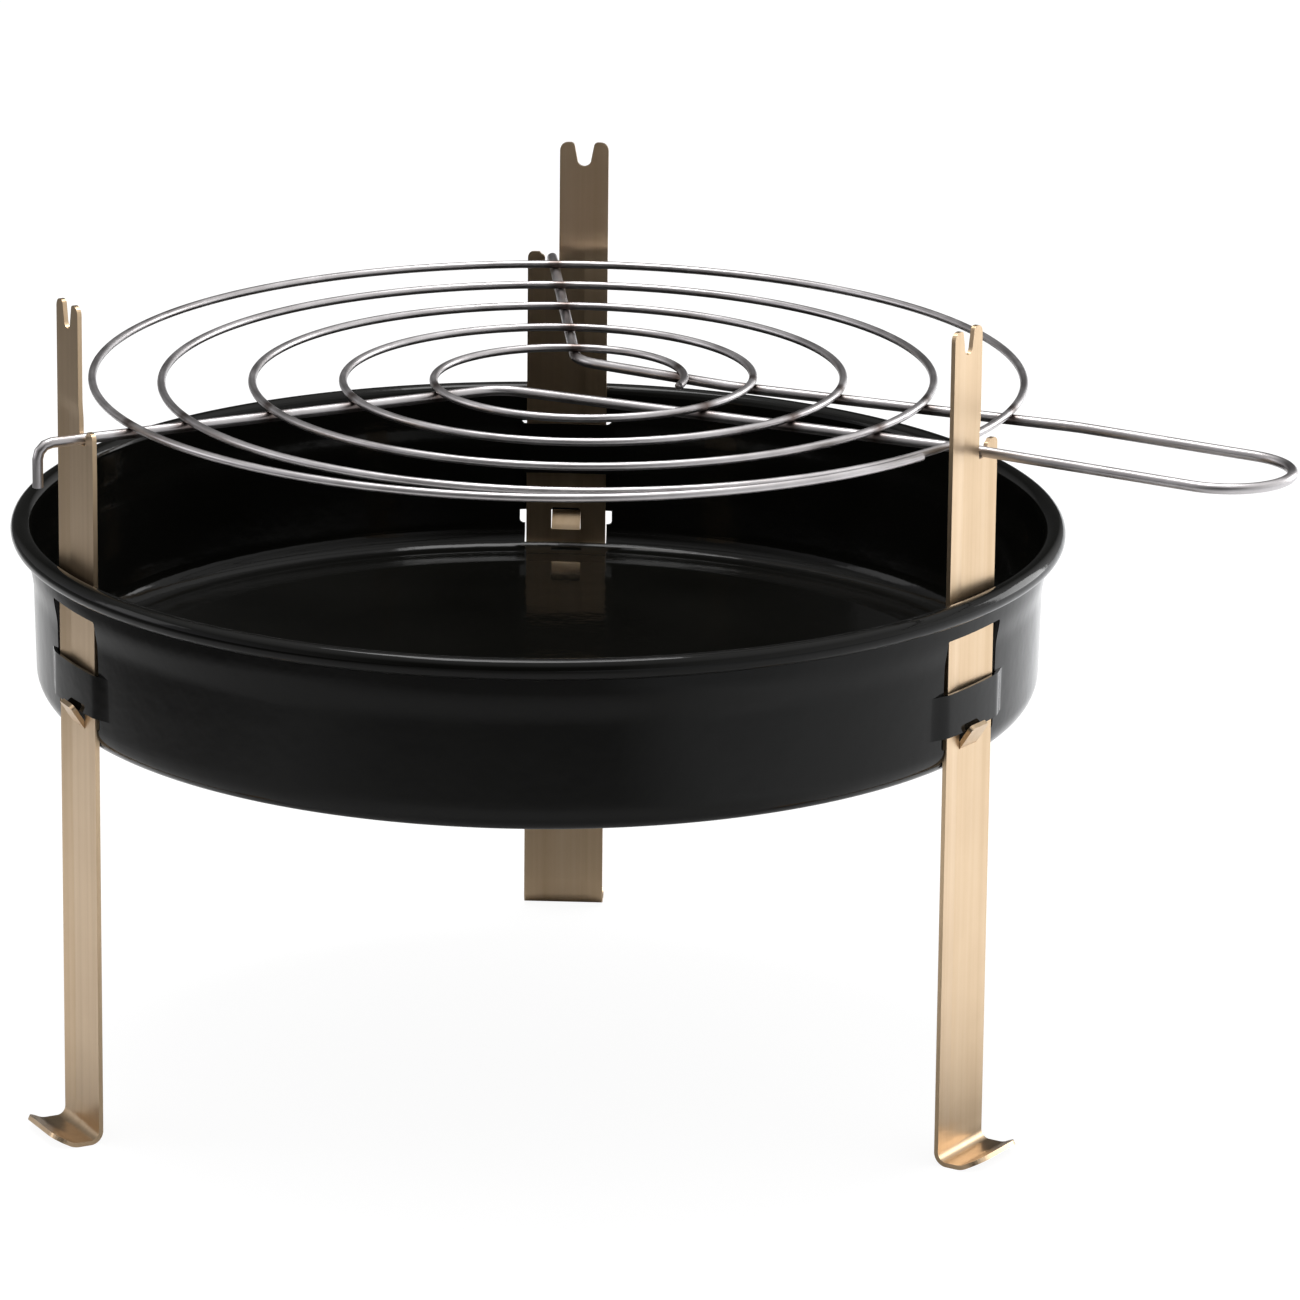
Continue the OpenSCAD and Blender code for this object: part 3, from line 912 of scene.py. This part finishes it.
def build_light():
    """A light table, an overhead soft box, a large soft box on the right and dark flags elsewhere."""
    world = bpy.data.worlds.new("studio")
    bpy.context.scene.world = world
    world.use_nodes = True
    nt = world.node_tree
    bg = nt.nodes["Background"]
    out = nt.nodes["World Output"]
    tc = nt.nodes.new("ShaderNodeTexCoord")
    mp = nt.nodes.new("ShaderNodeMapping")
    mp.inputs["Rotation"].default_value = (0, 0, -VIEW_TURN)
    nt.links.new(tc.outputs["Generated"], mp.inputs["Vector"])
    sep = nt.nodes.new("ShaderNodeSeparateXYZ")
    nt.links.new(mp.outputs["Vector"], sep.inputs["Vector"])
    side = ramp(nt, remap(nt, sep.outputs["X"]), [
        (0.0, (0.80, 0.79, 0.84)), (0.12, grey(0.4)), (0.3, grey(0.06)), (0.62, grey(0.05)),
        (0.82, grey(0.8)), (1.0, grey(1.3)),
    ])
    top = ramp(nt, remap(nt, sep.outputs["Z"]), [
        (0.0, grey(0.0)), (0.78, grey(0.0)), (0.92, grey(0.9)), (1.0, grey(1.1)),
    ])
    total = mix_colour(nt, 1.0, side, top, "ADD")
    nt.links.new(total, bg.inputs["Color"])
    bg.inputs["Strength"].default_value = 1.0
    white = nt.nodes.new("ShaderNodeBackground")
    path = nt.nodes.new("ShaderNodeLightPath")
    mix = nt.nodes.new("ShaderNodeMixShader")
    nt.links.new(path.outputs["Is Camera Ray"], mix.inputs["Fac"])
    nt.links.new(bg.outputs["Background"], mix.inputs[1])
    nt.links.new(white.outputs["Background"], mix.inputs[2])
    nt.links.new(mix.outputs["Shader"], out.inputs["Surface"])
    turn = Matrix.Rotation(VIEW_TURN, 3, "Z")

    def spot(x, y, z):
        return turn @ Vector((x, y, z))

    aim = (0, 0, 0.15)
    area_light("top", spot(-0.1, 0.3, 2.2), aim, (1.1, 0.9), 34)
    area_light("right", spot(1.9, 1.3, 0.55), aim, (1.0, 1.1), 15)
    area_light("left", spot(-2.2, 0.2, 0.9), aim, (0.8, 1.0), 4)


build_stage()
build_camera()
build_light()

scene_view = bpy.context.scene.view_settings
scene_view.view_transform = "Standard"
scene_view.look = "None"
